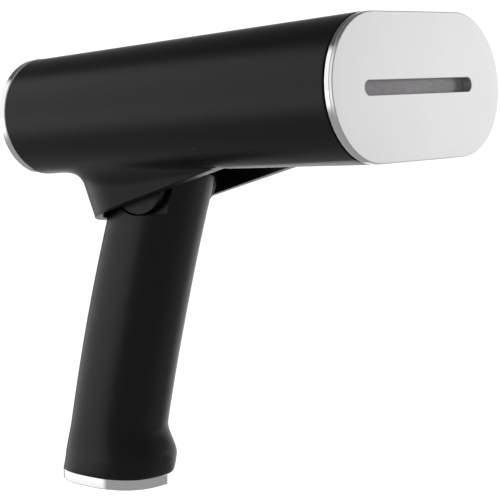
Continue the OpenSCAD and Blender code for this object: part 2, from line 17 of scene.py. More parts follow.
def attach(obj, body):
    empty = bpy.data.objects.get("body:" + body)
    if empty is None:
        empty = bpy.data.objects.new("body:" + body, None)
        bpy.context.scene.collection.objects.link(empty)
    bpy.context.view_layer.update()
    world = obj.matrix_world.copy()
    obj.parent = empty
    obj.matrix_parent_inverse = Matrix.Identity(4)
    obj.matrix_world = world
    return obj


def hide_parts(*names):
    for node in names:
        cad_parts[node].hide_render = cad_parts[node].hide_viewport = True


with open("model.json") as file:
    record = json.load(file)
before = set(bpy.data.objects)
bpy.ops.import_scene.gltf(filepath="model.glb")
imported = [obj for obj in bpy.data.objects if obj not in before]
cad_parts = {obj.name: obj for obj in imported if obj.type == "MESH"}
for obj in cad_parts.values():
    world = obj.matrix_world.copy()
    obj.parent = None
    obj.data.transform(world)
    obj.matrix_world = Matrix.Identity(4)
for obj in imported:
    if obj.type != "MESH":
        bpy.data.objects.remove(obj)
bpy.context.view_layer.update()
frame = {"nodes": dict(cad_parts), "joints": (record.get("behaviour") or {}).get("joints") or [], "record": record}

MM = 0.001
MOUNTS = {m["name"]: m for m in frame["record"]["mounts"]}
JOINTS = {j["name"]: j for j in frame["joints"]}
QUARTER = [math.radians(90 * i / 4) for i in range(5)]  # turns through a rounded edge

# Head: the plate's face is at x = 0, and everything behind it has a negative x
FACE_MOUNT_UP = 14.0  # height of the mount steam_face above the plate's centre
FLAT_HALF = 25.0  # half of the straight part of the head's outline
PLATE_R = 26.0
PLATE_BACK = -1.2
PLATE_EDGE = 0.3
SHELL_R = 26.2  # at the front
TAPER = 3.7  # how much smaller the radius is at the rear
X_FRONT = -3.9
X_REAR = -160.8
WALL = 2.2
END_CHAMFER = 0.3
SLOT_HALF = 30.25
SLOT_R = 2.5
SLOT_BACK = -3.5
LINING_T = 0.5

# Bright rings at both ends of the head
FRONT_RING_BACK = -3.3
FRONT_RING_OVER = 0.1  # how far it stands out past the plate
FRONT_RING_HOLE = 22.2
REAR_R = SHELL_R - TAPER
REAR_RING_T = 3.2
REAR_RING_OVER = 0.2
REAR_RING_IN = 1.9
REAR_RING_EDGE = 0.5

# Fold well, and the collar of two cheeks and a round back, in the head's frame
WELL_Y = 23.3
WELL_REAR = -137.85
WELL_FRONT = -67.0
WELL_ROOF = -6.4
ROOF_T = 1.6
ROOF_END = 2.0  # how far the roof's upper side reaches past the well
CHEEK_T = 3.6
CHEEK_FLARE = 0.25
CHEEK_LOW = (-135.5, -39.1)
CHEEK_TIP = (-69.9, -23.9)
COLLAR_X = -126.1  # axis of the round back
COLLAR_LIP = 0.45  # rounding of the collar's lower edge

# Soft fillet between head and collar
FILLET_FROM = 0.93  # share of the head's radius below which the fillet grows
FILLET_GROWTH = 0.45
FILLET_LEAST = 0.3
FILLET_MOST = 6.0
FILLET_REAR_LOSS = 4.0  # how much smaller it is straight behind the collar
FILLET_REAR_POWER = 6

# Points in half of a housing section, from the top's middle round to the roof's middle
TOP_POINTS = 5
SHOULDER_STEPS = 30
SIDE_POINTS = 44
SIDE_POWER = 0.7  # below 1: the steps shrink
FOOT_POINTS = 26
FOOT_POWER = 1.4  # above 1: the steps grow
LIP_STEPS = 4
LIP_POINTS = 2 * LIP_STEPS + 1
ROOF_POINTS = 3
BELLY_SAMPLES = 60
RAYS = 240
RAY_CENTRE = (12.0, -8.0)  # (y, z) inside every section
RAY_LENGTH = 90.0
FAR_Y = 60.0  # outside every section

# Spacing of the housing's sections
REAR_STEP, REAR_COUNT = 0.6, 10
REAR_END = 6.0  # where the collar's own sections start, from the rear
COLLAR_SPREAD = 29.0  # about the round back's radius
HOLLOW_START = 1.0  # half width with which the hollow inside the round back starts
WELL_STEP, WELL_COUNT = 1.5, 39
TIP_GAP = 0.4
NOSE_STEP, NOSE_COUNT = 4.2, 16
NOSE_END = 1.0
CLEAR_OF_STEP = 0.35  # no section is closer to an abrupt change than this
HAIR = 0.001  # between the two sections of an abrupt change
CEILING_GAP = 0.01  # how far the hollow's roof lies inside the head's underside

# Hinge
ARM_R = 13.25
ARM_Y = 12.3
ARM_T = 3.9
ARM_TOP = 21.0
ARM_EDGE = 0.35
ARM_FOOT_T = 3.0
ARM_FOOT_IN = 0.5
ARM_FOOT_GAP = 1.0  # between the foot and the well's wall
POCKET_Y = 12.0
POCKET_R = 13.6
HUB_R = 8.6
BORE_R = 4.9
BORE_LENGTH = 40.0

# Grip, whose middle line runs through x = AXIS_FOOT + AXIS_LEAN * z + AXIS_BEND * z * z
AXIS_FOOT = -3.36
AXIS_LEAN = 0.1684
AXIS_BEND = 0.0006
GRIP_A = 19.75
GRIP_B = 16.8
GRIP_WALL = 2.4
SKIN = 0.02  # keeps the smooth grip inside the CAD's flat facets
GRIP_TOP = 127.0
GRIP_ROUND = 3.5
CAVITY_TOP = 106.0
DUCT_X = 7.0
DUCT_Y = 4.0
DUCT_DOWN = 4.0
DUCT_OVER = 1.0  # past the hub
BASE_H = 4.3
BASE_A = 22.9
BASE_B = 18.7
BASE_RIM = 2.2
BASE_EDGE = 0.35
FOOT_ROUND = 4.2
SQUARENESS = 2.5
TOE_TOP = 24.6
TOE_RISE = 14.0
TOE_SHIFT = 3.2
TOE_A = 3.25
TOE_B = 2.1
TILT_FROM = 60.0  # from here up the rings tilt towards the head's pitch
TILT_RISE = 55.0

# Heights of the grip's rings
FOOT_STEP, FOOT_COUNT = 0.5, 60
SHAFT_FROM = 34.5
SHAFT_STEP, SHAFT_COUNT = 1.5, 48
NECK_STEP, NECK_COUNT = 1.2, 15
NECK_GAP = 0.4
CROWN_STEPS = 8

# Steam button, in its own frame with z out of the grip's back
BUTTON_Z = 89.0
BUTTON_L = 22.0
BUTTON_W = 12.0
KEY_TOP = 0.6
KEY_BACK = -5.38
KEY_EDGE = 0.8
KEY_BEVEL = 0.08
KEY_CROWN = 0.15
KEY_CROWN_IN = 3.0
KEY_GAP = 0.3
HOLE_BACK, HOLE_FRONT = -12.0, 8.0
GROOVE_HALF = 3.4
GROOVE_R = 0.6
GROOVE_UP = 0.45  # height of a groove's axis over the key's top
GROOVES_AT = (-4, 0, 4)

# Camera: position in millimetres, angles in degrees, film and lens in millimetres, clipping in metres
CAMERA_AT = (514.12, -537.17, 178.67)
CAMERA_TURN = 39.59
CAMERA_DIP = 6.52
FILM = 36
LENS = 133.13
CLIP = (0.05, 20)

# Lights: (bearing from +X, angles from it where the light ends and where it is full) in degrees, then
# (where the strength starts to change, where it stops, and both strengths) by a direction's height or
# by the distance on the floor in metres; the two floor entries set the floor's painted glow, not lights
BACKDROP = ((96, 51, 43.5), (0.12, 0.4, 1.0, 0.0))
SOFT_BOX = ((210, 48, 38), (0.65, 0.85, 0.84, 0.0))
OVERHEAD = ((150, 90, 72), (0.3, 0.65, 0.0, 1.0))
# painted glow in the floor's emission, behind the object and on its left, none near it
FLOOR_GLOW_BEHIND = ((106, 44, 35), (0.5, 0.85, 0.0, 1.0))
FLOOR_GLOW_LEFT = ((208, 50, 38), (0.55, 1.2, 0.0, 0.9))
BRIGHTEST = 1.12
AMBIENT = 0.27
AMBIENT_OVERHEAD = 0.09

# Floor, in metres
FLOOR_Z = -0.25
FLOOR_REACH = 6.0
# emission strength of the floor's painted glow where no glow part reaches, and at full
FLOOR_GLOW = (0.13, 1.0)

# Kept nodes that show from outside, with the size of their edge rounding, and the weld before it
WELD_GAP = 0.002
ROUNDED = {
    "rear_cover": 0.3, "filler_door": 0.35, "power_button": 0.4, "light_ring": 0.25, "front_frame": 0.2,
    "diffuser_plate": 0.1, "base_cap": 0.3, "cord_gland": 0.4, "base_screws": 0.15, "arm_screws": 0.15,
    "hinge_pin": 0.3,
}


def vec(values):
    """A point or direction of the record as a Vector."""
    return Vector([float(v) for v in values])


def head_matrix():
    """The head's own frame in the CAD frame, in millimetres."""
    face = MOUNTS["steam_face"]
    forward = vec(face["axis"]).normalized()
    up = Vector((-forward.z, 0, forward.x))
    centre = vec(face["pos_m"]) / MM - FACE_MOUNT_UP * up
    turn = Matrix((forward, Vector((0, 1, 0)), up)).transposed().to_4x4()
    return Matrix.Translation(centre) @ turn


HEAD = head_matrix()
HEAD_PITCH = math.atan2(HEAD[2][0], HEAD[0][0])
HINGE = HEAD.inverted() @ (vec(JOINTS["head_fold"]["pos_m"]) / MM)
HINGE_FRAME = HEAD @ Matrix.Translation(HINGE)
BUTTON_PUSH = vec(JOINTS["steam_button_press"]["axis"]).normalized()


# ---- Mesh helpers ----


def arc(centre, radius, start, end, steps):
    """Points of an arc in a plane, with angles in degrees."""
    turns = [math.radians(start + (end - start) * i / steps) for i in range(steps + 1)]
    return [(centre[0] + radius * math.cos(t), centre[1] + radius * math.sin(t)) for t in turns]


def obround(r, half, steps=28, flats=6):
    """Outline of an obround in the (y, z) plane, counter-clockwise seen from the front."""
    right = arc((half, 0), r, -90, 90, steps)
    left = arc((-half, 0), r, 90, 270, steps)
    top = [(half - 2 * half * i / flats, r) for i in range(1, flats)]
    bottom = [(-half + 2 * half * i / flats, -r) for i in range(1, flats)]
    return right + top + left + bottom


def stadium(r, half, steps=20):
    """Outline of an obround that is long along its first axis, without points along its flats."""
    return arc((half, 0), r, -90, 90, steps) + arc((-half, 0), r, 90, 270, steps)


def join_rings(rings, closed=False):
    """Vertices and faces of a skin through equal rings, which close on themselves or end in caps."""
    n = len(rings[0])
    verts = [p for ring in rings for p in ring]
    faces = []
    for k in range(len(rings) if closed else len(rings) - 1):
        k2 = (k + 1) % len(rings)
        for i in range(n):
            j = (i + 1) % n
            faces.append((k * n + i, k * n + j, k2 * n + j, k2 * n + i))
    if not closed:
        faces.append(tuple(range(n)))
        faces.append(tuple(range((len(rings) - 1) * n, len(rings) * n)))
    return verts, faces


def make(name, verts, faces, matrix=None):
    """A mesh object in metres: welded, with its normals outward and its hard edges marked."""
    mesh = bpy.data.meshes.new(name)
    matrix = matrix or Matrix.Identity(4)
    mesh.from_pydata([matrix @ Vector(v) * MM for v in verts], [], faces)
    piece = bpy.data.objects.new(name, mesh)
    bpy.context.scene.collection.objects.link(piece)
    clean(piece)
    return piece


def clean(piece, weld=0.004, sharp=35):
    """Welds double points, drops faces without area, turns normals outward and marks hard edges."""
    bm = bmesh.new()
    bm.from_mesh(piece.data)
    bmesh.ops.remove_doubles(bm, verts=bm.verts, dist=weld * MM)
    bmesh.ops.dissolve_degenerate(bm, edges=bm.edges, dist=weld * MM)
    bmesh.ops.recalc_face_normals(bm, faces=bm.faces)
    bm.to_mesh(piece.data)
    bm.free()
    piece.data.polygons.foreach_set("use_smooth", [True] * len(piece.data.polygons))
    piece.data.set_sharp_from_angle(angle=math.radians(sharp))
    piece.data.update()


def boolean(piece, operation, *tools):
    """Cuts or joins tool objects into a piece and removes them."""
    for tool in tools:
        step = piece.modifiers.new("cut", "BOOLEAN")
        step.operation = operation
        step.solver = "EXACT"
        step.object = tool
        graph = bpy.context.evaluated_depsgraph_get()
        mesh = bpy.data.meshes.new_from_object(piece.evaluated_get(graph))
        piece.modifiers.clear()
        old = piece.data
        piece.data = mesh
        bpy.data.meshes.remove(old)
        bpy.data.objects.remove(tool)
    clean(piece)


def bevel(piece, width, segments=3, angle=30):
    """Rounds every edge sharper than angle."""
    step = piece.modifiers.new("edge_round", "BEVEL")
    step.width = width * MM
    step.segments = segments
    step.limit_method = "ANGLE"
    step.angle_limit = math.radians(angle)
    step.harden_normals = False
    step.miter_outer = "MITER_ARC"


def even_shading(piece, weight=80):
    """Keeps flat faces flat next to their rounded edges."""
    step = piece.modifiers.new("shading", "WEIGHTED_NORMAL")
    step.keep_sharp = True
    step.weight = weight


def stand_for(piece, body, slot, materials, *nodes):
    """A piece that rides on a body, shows its slot's material and stands for CAD nodes."""
    piece.data.materials.clear()
    piece.data.materials.append(materials[slot])
    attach(piece, body)
    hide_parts(*nodes)


def box_tool(name, low, high, matrix):
    """A box between two corners, as a tool for boolean()."""
    rings = [
        [(x, low[1], low[2]), (x, high[1], low[2]), (x, high[1], high[2]), (x, low[1], high[2])]
        for x in (low[0], high[0])
    ]
    return make(name, *join_rings(rings), matrix)


def rod(name, start, direction, length, r, matrix, steps=64):
    """A plain cylinder, as a tool for boolean()."""
    axis = Vector(direction).normalized()
    side = axis.orthogonal().normalized()
    other = axis.cross(side)
    rings = [
        [
            Vector(start) + axis * length * end + r * (math.cos(t) * side + math.sin(t) * other)
            for t in (2 * math.pi * i / steps for i in range(steps))
        ]
        for end in (0, 1)
    ]
    return make(name, *join_rings(rings), matrix)


# ---- Materials ----


def new_material(name):
    """A material with only its Principled shader, and the shader and node tree."""
    material = bpy.data.materials.new(name)
    material.use_nodes = True
    tree = material.node_tree
    shader = next(n for n in tree.nodes if n.type == "BSDF_PRINCIPLED")
    return material, tree, shader


def object_noise(tree, scale, detail=3, stretch=(1, 1, 1)):
    """Noise in object space, with scale in features per metre."""
    place = tree.nodes.new("ShaderNodeTexCoord")
    mapping = tree.nodes.new("ShaderNodeMapping")
    mapping.inputs["Scale"].default_value = stretch
    noise = tree.nodes.new("ShaderNodeTexNoise")
    noise.inputs["Scale"].default_value = scale
    noise.inputs["Detail"].default_value = detail
    tree.links.new(place.outputs["Object"], mapping.inputs["Vector"])
    tree.links.new(mapping.outputs["Vector"], noise.inputs["Vector"])
    return noise.outputs["Fac"]


def map_range(tree, value, start, end, low, high, kind="LINEAR"):
    """A value that runs from low at start to high at end, and stays between them."""
    node = tree.nodes.new("ShaderNodeMapRange")
    node.interpolation_type = kind
    for socket, number in (("From Min", start), ("From Max", end), ("To Min", low), ("To Max", high)):
        node.inputs[socket].default_value = number
    tree.links.new(value, node.inputs["Value"])
    return node.outputs["Result"]


def spread(tree, noise, low, high):
    """The middle half of a noise's range moved to another range."""
    return map_range(tree, noise, 0.25, 0.75, low, high)


def tint(tree, value, dark, light):
    """A colour between two by a 0 to 1 value."""
    node = tree.nodes.new("ShaderNodeMix")
    node.data_type = "RGBA"
    node.inputs["A"].default_value = (*dark, 1)
    node.inputs["B"].default_value = (*light, 1)
    tree.links.new(value, node.inputs["Factor"])
    return node.outputs["Result"]


def colour_drift(tree, shader, noise, dark, light):
    """Base colour that drifts between two with a noise."""
    tree.links.new(tint(tree, spread(tree, noise, 0, 1), dark, light), shader.inputs["Base Color"])


def gloss_drift(tree, shader, noise, roughness, swing):
    """Roughness that drifts up and down by a swing with a noise."""
    drift = spread(tree, noise, roughness - swing, roughness + swing)
    tree.links.new(drift, shader.inputs["Roughness"])


def bump(tree, shader, height, distance, strength):
    """Surface relief of a real depth in millimetres."""
    node = tree.nodes.new("ShaderNodeBump")
    node.inputs["Strength"].default_value = strength
    node.inputs["Distance"].default_value = distance * MM
    tree.links.new(height, node.inputs["Height"])
    tree.links.new(node.outputs["Normal"], shader.inputs["Normal"])


def plastic(name, colour, roughness, grain=0.012, grain_size=0.35, vary=0.15, coat=0.0, ior=1.45):
    """Moulded plastic: a fine spark grain, faint blotches in gloss and a little colour drift."""
    material, tree, shader = new_material(name)
    light = [c * (1 + vary) for c in colour]
    dark = [c * (1 - vary) for c in colour]
    colour_drift(tree, shader, object_noise(tree, scale=45, detail=2), dark, light)
    gloss_drift(tree, shader, object_noise(tree, scale=220), roughness, swing=0.03)
    bump(tree, shader, object_noise(tree, 1 / (grain_size * MM), detail=2), grain, strength=0.6)
    shader.inputs["IOR"].default_value = ior
    shader.inputs["Coat Weight"].default_value = coat
    shader.inputs["Coat Roughness"].default_value = 0.12
    return material


def metal(name, colour, roughness, stretch=(1, 1, 1), line_size=0.12, depth=0.0015, vary=0.03, haze=0.1):
    """Metal with a fine grain; stretch draws the grain out into brushed lines."""
    material, tree, shader = new_material(name)
    shader.inputs["Metallic"].default_value = 1.0
    lines = object_noise(tree, 1 / (line_size * MM), stretch=stretch)
    dark = [c * (1 - vary) for c in colour]
    colour_drift(tree, shader, lines, dark, colour)
    gloss_drift(tree, shader, object_noise(tree, scale=60, detail=2), roughness, roughness * haze)
    bump(tree, shader, lines, depth, strength=0.5)
    return material


def rubber(name, colour, roughness):
    """Moulded rubber: matt, with a dusty bloom and a soft mottled surface."""
    material, tree, shader = new_material(name)
    bloom = object_noise(tree, scale=160, detail=4)
    light = [min(1, c * 1.3 + 0.01) for c in colour]
    colour_drift(tree, shader, bloom, colour, light)
    gloss_drift(tree, shader, bloom, roughness, swing=0.06)
    bump(tree, shader, object_noise(tree, scale=1800), distance=0.02, strength=0.7)
    return material


def clear(name, colour, roughness, ior=1.49):
    """Clear moulded plastic with faint flow marks."""
    material, tree, shader = new_material(name)
    shader.inputs["Transmission Weight"].default_value = 0.9
    shader.inputs["IOR"].default_value = ior
    flow = object_noise(tree, scale=70)
    light = [min(1, c * 1.05) for c in colour]
    colour_drift(tree, shader, flow, colour, light)
    gloss_drift(tree, shader, flow, roughness, roughness * 0.2)
    bump(tree, shader, flow, distance=0.05, strength=0.4)
    return material


def make_materials():
    """One material for each of the record's slots."""
    satin_black = (0.0042, 0.0042, 0.0047)
    satin = (0.90, 0.90, 0.91)
    bright = (0.98, 0.98, 0.99)
    dull = (0.26, 0.25, 0.25)
    brushed = (0.42, 0.40, 0.42)
    long_lines = (1, 0.03, 1)  # grain drawn out along y, as the slot is
    slot_lines = (1, 0.04, 1)
    return {
        "body_plastic": plastic("body_plastic", satin_black, 0.33, 0.004, 0.3, ior=1.39),
        "inner_plastic": plastic("inner_plastic", (0.009, 0.009, 0.010), 0.5, 0.02, 0.4),
        "chassis_plastic": plastic("chassis_plastic", (0.07, 0.07, 0.08), 0.5, 0.02, 0.4),
        "button_plastic": plastic("button_plastic", (0.008, 0.008, 0.009), 0.25, 0.004, 0.3, coat=0.3),
        "switch_plastic": plastic("switch_plastic", (0.015, 0.017, 0.02), 0.4),
        "terminal_nylon": plastic("terminal_nylon", (0.72, 0.70, 0.62), 0.45, 0.02, 0.5, vary=0.04),
        "mica": plastic("mica", (0.55, 0.50, 0.38), 0.7, 0.04, 0.8),
        "ceramic": plastic("ceramic", (0.62, 0.57, 0.45), 0.3, 0.01, 0.6, vary=0.05),
        "board": plastic("board", (0.012, 0.085, 0.025), 0.3, 0.01, 0.9, coat=0.4),
        "pump_blue": plastic("pump_blue", (0.025, 0.09, 0.20), 0.35, 0.02, 0.6),
        "plate_aluminium": metal("plate_aluminium", satin, 0.28, long_lines, 0.1, 0.0006, haze=0.02),
        "chrome_trim": metal("chrome_trim", bright, 0.07, depth=0.0002, vary=0.01),
        "diffuser_steel": metal("diffuser_steel", brushed, 0.4, slot_lines, 0.16, 0.004, vary=0.3),
        "cast_aluminium": metal("cast_aluminium", (0.62, 0.62, 0.64), 0.5, line_size=0.6, depth=0.05),
        "element_steel": metal("element_steel", dull, 0.5, line_size=0.5, depth=0.01, vary=0.2),
        "steel": metal("steel", (0.60, 0.60, 0.62), 0.3, line_size=0.3, depth=0.004),
        "spring_steel": metal("spring_steel", (0.62, 0.62, 0.64), 0.22, line_size=0.2, depth=0.002),
        "brass": metal("brass", (0.72, 0.50, 0.20), 0.3, line_size=0.25, depth=0.003),
        "seal_silicone": rubber("seal_silicone", (0.36, 0.05, 0.035), 0.45),
        "seal_grey": rubber("seal_grey", (0.10, 0.10, 0.11), 0.5),
        "pad_rubber": rubber("pad_rubber", (0.015, 0.015, 0.016), 0.8),
        "tube_silicone": rubber("tube_silicone", (0.72, 0.72, 0.68), 0.4),
        "gland_rubber": rubber("gland_rubber", (0.012, 0.012, 0.013), 0.6),
        "tank_clear": clear("tank_clear", (0.80, 0.88, 0.95), 0.12),
        "light_clear": clear("light_clear", (0.93, 0.96, 0.98), 0.25),
    }


# ---- Head ----


def shell_r(x):
    """Radius of the head's outline at x."""
    return SHELL_R - TAPER * (X_FRONT - x) / (X_FRONT - X_REAR)


def belly(y, r):
    """Height of the outline's underside at y, for an outline of radius r."""
    over = max(0.0, y - FLAT_HALF)
    return -math.sqrt(max(0.0, r * r - over * over))


def collar_r(z):
    """Outer radius of the collar's round back at a height; its sides stand as far out."""
    return WELL_Y + CHEEK_T + CHEEK_FLARE * (z - CHEEK_LOW[1])


def collar_edge(x):
    """Height of the collar's sloping lower edge."""
    slope = (CHEEK_TIP[1] - CHEEK_LOW[1]) / (CHEEK_TIP[0] - CHEEK_LOW[0])
    return CHEEK_TIP[1] + slope * (x - CHEEK_TIP[0])


def outside(x, r, y, z):
    """How far (y, z) lies outside the head with its collar, and how much nearer the collar is.

    Both are signed, and the two shapes meet in a soft fillet.
    """
    head = np.hypot(np.maximum(0.0, np.abs(y) - FLAT_HALF), z) - r
    back = min(0.0, x - COLLAR_X)
    reach = np.hypot(back, y)
    collar = (reach - collar_r(z)) / math.hypot(1, CHEEK_FLARE)
    depth = max(0.0, -FILLET_FROM * r - collar_edge(x))
    rearward = np.where(reach > 0, -back / np.maximum(reach, 1e-6), 0.0)
    widest = min(FILLET_LEAST + FILLET_GROWTH * depth, FILLET_MOST)
    soft = np.maximum(widest - FILLET_REAR_LOSS * rearward**FILLET_REAR_POWER, FILLET_LEAST)
    overlap = np.maximum(0.0, soft - np.abs(head - collar)) / soft
    return np.minimum(head, collar) - overlap**2 * soft / 4, head - collar


def root(function, low, high, steps=34):
    """Where a function that rises from below zero to above zero between two bounds is zero."""
    for _ in range(steps):
        middle = (low + high) / 2
        below = function(middle) < 0
        low, high = np.where(below, middle, low), np.where(below, high, middle)
    return (low + high) / 2


def along(points, count, power):
    """Points at growing or shrinking steps along a line of points, without its first one."""
    steps = np.hypot(*np.diff(points, axis=0).T)
    length = np.concatenate([[0.0], np.cumsum(steps)])
    share = np.linspace(0, 1, count + 1)[1:]
    share = share**power if power > 1 else 1 - (1 - share) ** (1 / power)
    return [
        (float(np.interp(t, length, points[:, 0])), float(np.interp(t, length, points[:, 1])))
        for t in share * length[-1]
    ]


def flank(x, r, low):
    """The head's side from its widest point down over the fillet to the collar's foot at low."""
    centre = np.array(RAY_CENTRE)
    widest = np.array([FLAT_HALF + r, 0.0])
    level, middle = np.array(low), np.array(0.0)

    def across(y):
        return outside(x, r, y, level)[0]

    def down(z):
        return -outside(x, r, middle, z)[0]

    if float(across(middle)) < 0:
        foot = np.array([float(root(across, 0.0, FAR_Y)), low])
    else:
        foot = np.array([0.0, float(root(down, low, RAY_CENTRE[1]))])
    start = math.atan2(*(widest - centre)[::-1])
    end = math.atan2(*(foot - centre)[::-1])
    turns = np.linspace(start, end if end < 0 else end - 2 * math.pi, RAYS)
    cos, sin = np.cos(turns), np.sin(turns)

    def outward(length):
        return outside(x, r, centre[0] + length * cos, centre[1] + length * sin)[0]

    ray = root(outward, np.zeros(RAYS), np.full(RAYS, RAY_LENGTH))
    line = np.stack([centre[0] + ray * cos, centre[1] + ray * sin], axis=1)
    line[0], line[-1] = widest, foot
    nearer_collar = outside(x, r, line[:, 0], line[:, 1])[1] > 0
    crease = int(np.argmax(nearer_collar)) if nearer_collar.any() else len(line) - 2
    crease = min(max(crease, 2), len(line) - 3)
    side = along(line[: crease + 1], SIDE_POINTS, SIDE_POWER)
    return side + along(line[crease:], FOOT_POINTS, FOOT_POWER)


def plain_flank(r):
    """The head's side in front of the collar, down to the cheeks' tips and in to the well's edge."""
    corner = FLAT_HALF + math.sqrt(max(0.0, r * r - CHEEK_TIP[1] ** 2))
    turns = np.linspace(0, -math.acos((corner - FLAT_HALF) / r), BELLY_SAMPLES)
    line = np.array([(FLAT_HALF + r * math.cos(t), r * math.sin(t)) for t in turns])
    points = along(line, SIDE_POINTS, SIDE_POWER) + [tuple(line[-1])] * FOOT_POINTS
    points += [(corner - COLLAR_LIP, belly(corner - COLLAR_LIP, r))] * LIP_STEPS
    return points + [(WELL_Y, belly(WELL_Y, r))] * (LIP_POINTS - LIP_STEPS)


def collar_flank(x, r, inner_y):
    """The head's side with the collar, round its lower edge to the inner wall at inner_y."""
    low = collar_edge(x)
    points = flank(x, r, low + COLLAR_LIP)
    y, z = points[-1]
    if y <= 0:
        return points + [(0.0, z)] * LIP_POINTS
    points += arc((y - COLLAR_LIP, z), COLLAR_LIP, 0, -90, LIP_STEPS)[1:]
    if inner_y <= 0:
        return points + [(0.0, low)] * (LIP_POINTS - LIP_STEPS)
    return points + arc((inner_y + COLLAR_LIP, z), COLLAR_LIP, -90, -180, LIP_STEPS)


def half_section(x, r, roof):
    """Half of the housing's outline at x: (y, z) points from the top's middle to the roof's middle."""
    inner_y = WELL_Y
    if x < WELL_REAR:
        inner_y = 0.0 if roof is None else math.sqrt(max(0.0, WELL_Y**2 - (x - COLLAR_X) ** 2))
    points = [(FLAT_HALF * i / TOP_POINTS, r) for i in range(TOP_POINTS)]
    points += arc((FLAT_HALF, 0), r, 90, 0, SHOULDER_STEPS)
    points += collar_flank(x, r, inner_y) if x < CHEEK_TIP[0] else plain_flank(r)
    y, z = points[-1]
    if roof is None:
        return points + [(y, z), (y * 0.5, z), (0.0, z)]
    return points + [(inner_y, roof), (y * 0.5, roof), (0.0, roof)]


def whole_ring(x, half):
    """A full ring from its half, mirrored across the middle plane."""
    return [(x, y, z) for y, z in half] + [(x, -y, z) for y, z in reversed(half[1:-1])]


def spaced(start, step, count):
    """Evenly spaced numbers from start."""
    return [start + step * i for i in range(count)]


def ceiling(x):
    """Roof of the collar's hollow behind the well: the head's underside."""
    return -shell_r(x) + CEILING_GAP


def housing_stations():
    """(x, roof) pairs along the housing: no roof where nothing is hollow, belly level in the collar."""
    opened = COLLAR_X - math.sqrt(WELL_Y**2 - HOLLOW_START**2)
    turns = [math.radians(a) for a in range(4, 88, 3)]
    round_back = [COLLAR_X - COLLAR_SPREAD * math.cos(t) for t in turns]
    xs = spaced(X_REAR + END_CHAMFER, REAR_STEP, REAR_COUNT)
    xs += [x for x in round_back if x > X_REAR + REAR_END]
    xs += spaced(COLLAR_X, WELL_STEP, WELL_COUNT) + [CHEEK_TIP[0] - TIP_GAP]
    xs += [x for x in spaced(WELL_FRONT, NOSE_STEP, NOSE_COUNT)[1:] if x < X_FRONT - NOSE_END]
    xs.append(X_FRONT - END_CHAMFER)
    changes = (opened, WELL_REAR, WELL_FRONT, CHEEK_TIP[0])
    xs = sorted(x for x in xs if min(abs(x - q) for q in changes) > CLEAR_OF_STEP)
    pairs = [(x, None) for x in xs if x < opened] + [(opened, None), (opened, ceiling(opened))]
    pairs += [(x, ceiling(x)) for x in xs if opened < x < WELL_REAR]
    pairs += [(WELL_REAR - HAIR, ceiling(WELL_REAR)), (WELL_REAR, WELL_ROOF)]
    pairs += [(x, WELL_ROOF) for x in xs if WELL_REAR < x < CHEEK_TIP[0]]
    pairs += [(CHEEK_TIP[0] - HAIR, WELL_ROOF), (CHEEK_TIP[0], WELL_ROOF), (WELL_FRONT, WELL_ROOF)]
    return pairs + [(WELL_FRONT, None)] + [(x, None) for x in xs if x > WELL_FRONT]


def housing(materials):
    """The head's moulded shell with its collar and fold well, as one closed skin."""
    ends = [whole_ring(x, half_section(x, shell_r(x) - END_CHAMFER, None)) for x in (X_REAR, X_FRONT)]
    walls = [whole_ring(x, half_section(x, shell_r(x), roof)) for x, roof in housing_stations()]
    outer = [ends[0]] + walls + [ends[1]]
    inner = []
    roof_front, roof_rear = WELL_FRONT + ROOF_END, WELL_REAR - ROOF_END
    roof_y, roof_z = WELL_Y + ROOF_T, WELL_ROOF + ROOF_T
    stations = [(X_FRONT, False), (roof_front, False), (roof_front, True)]
    stations += [(roof_rear, True), (roof_rear, False), (X_REAR, False)]
    for x, over_well in stations:
        half = half_section(X_FRONT, shell_r(x) - WALL, None)
        if over_well:
            wall = [(roof_y, belly(roof_y, shell_r(x) - WALL))] * LIP_STEPS
            wall += [(roof_y, roof_z)] * (LIP_POINTS + ROOF_POINTS - LIP_STEPS - 2)
            half = half[: -LIP_POINTS - ROOF_POINTS] + wall + [(WELL_Y / 2, roof_z), (0.0, roof_z)]
        inner.append(whole_ring(x, half))
    piece = make("housing_shell", *join_rings(outer + inner, closed=True), HEAD)
    stand_for(piece, "head", "body_plastic", materials, "body_housing")


def head_ring(name, stations):
    """A closed ring along the head's outline from (x, radius, flat half) stations of its profile."""
    rings = [[(x, y, z) for y, z in obround(r, half)] for x, r, half in stations]
    piece = make(name, *join_rings(rings, closed=True), HEAD)
    even_shading(piece)
    return piece


def ring_profile(back, front, outer, inner, edge=0.25):
    """Stations of a ring with rounded outer edges."""
    corner = [(edge * math.sin(t), edge * math.cos(t)) for t in QUARTER]
    profile = [(front, inner)]
    profile += [(front - edge + s, outer - edge + c) for s, c in reversed(corner)]
    profile += [(back + edge - s, outer - edge + c) for s, c in corner]
    profile.append((back, inner))
    return [(x, r, FLAT_HALF) for x, r in profile]


def front_end(materials):
    """Steam plate with its slot, and the bright ring behind it."""
    edge = PLATE_EDGE
    rim = [(-edge + edge * math.cos(t), PLATE_R - edge + edge * math.sin(t), FLAT_HALF) for t in QUARTER]
    mouth = [
        (-edge + edge * math.cos(t), SLOT_R + edge - edge * math.sin(t), SLOT_HALF)
        for t in reversed(QUARTER)
    ]
    face = [
        (0, SLOT_R + (PLATE_R - SLOT_R) * t, SLOT_HALF + (FLAT_HALF - SLOT_HALF) * t)
        for t in (0.3, 0.7)
    ]
    lining = SLOT_R + LINING_T
    back = [(PLATE_BACK, PLATE_R, FLAT_HALF), (PLATE_BACK, lining, SLOT_HALF)]
    back += [(SLOT_BACK, lining, SLOT_HALF), (SLOT_BACK, SLOT_R, SLOT_HALF)]
    plate = head_ring("steam_plate_face", mouth + face + rim + back)
    stand_for(plate, "head", "plate_aluminium", materials, "steam_plate")
    outer = PLATE_R + FRONT_RING_OVER
    ring = head_ring("front_ring", ring_profile(FRONT_RING_BACK, PLATE_BACK, outer, FRONT_RING_HOLE))
    stand_for(ring, "head", "chrome_trim", materials, "front_trim_ring")


